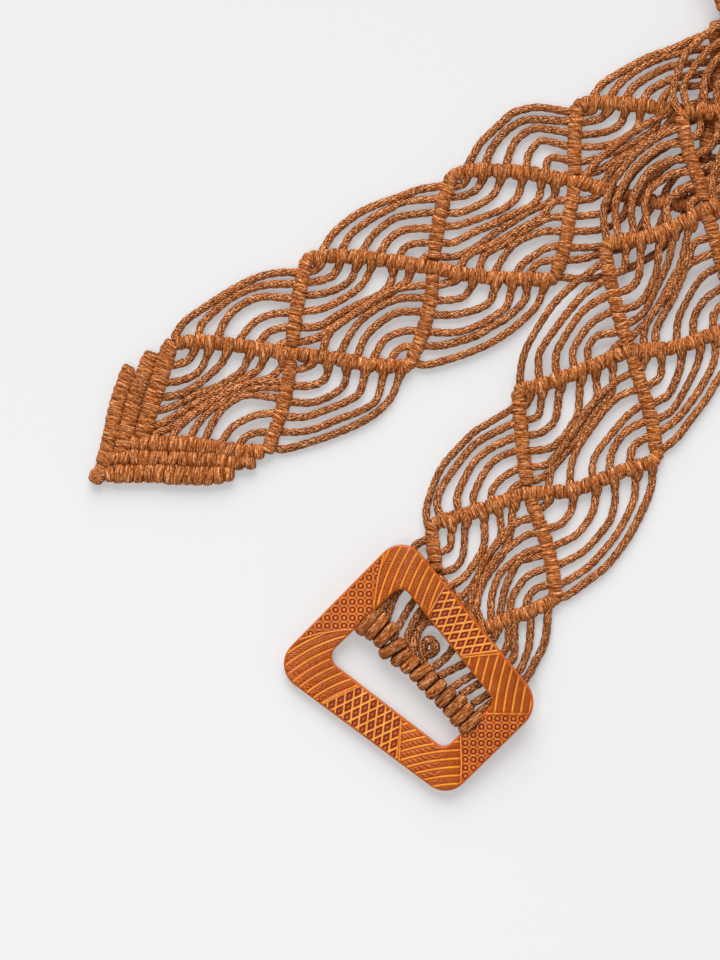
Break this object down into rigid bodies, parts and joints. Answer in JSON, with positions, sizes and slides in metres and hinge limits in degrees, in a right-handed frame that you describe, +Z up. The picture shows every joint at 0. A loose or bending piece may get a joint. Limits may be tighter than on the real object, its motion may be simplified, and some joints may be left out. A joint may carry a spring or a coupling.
{
  "type": "macrame waist belt",
  "caption": "Knotted cord waist belt with open diamond net, a knotted point and a carved slide buckle, lying flat in a loop.",
  "frame": {"origin": "middle of the belt's box, on the floor that it lies on", "axes": "+Z up from the floor, +X and +Y along the floor, with the buckle and the point towards -X and -Y"},
  "size_m": [0.4688, 0.499, 0.012],
  "materials": {
    "waxed_cord": "waxed braided cord, satin",
    "moulded_buckle": "glossy moulded resin with a carved look"
  },
  "bodies": {
    "root": {"point_rows": "waxed_cord", "net_pointed_arm": "waxed_cord", "net_loop_start": "waxed_cord", "net_loop_middle": "waxed_cord", "net_loop_end": "waxed_cord", "net_buckle_arm": "waxed_cord", "bar_wraps": "waxed_cord", "slide_buckle": "moulded_buckle"}
  },
  "joints": []
}
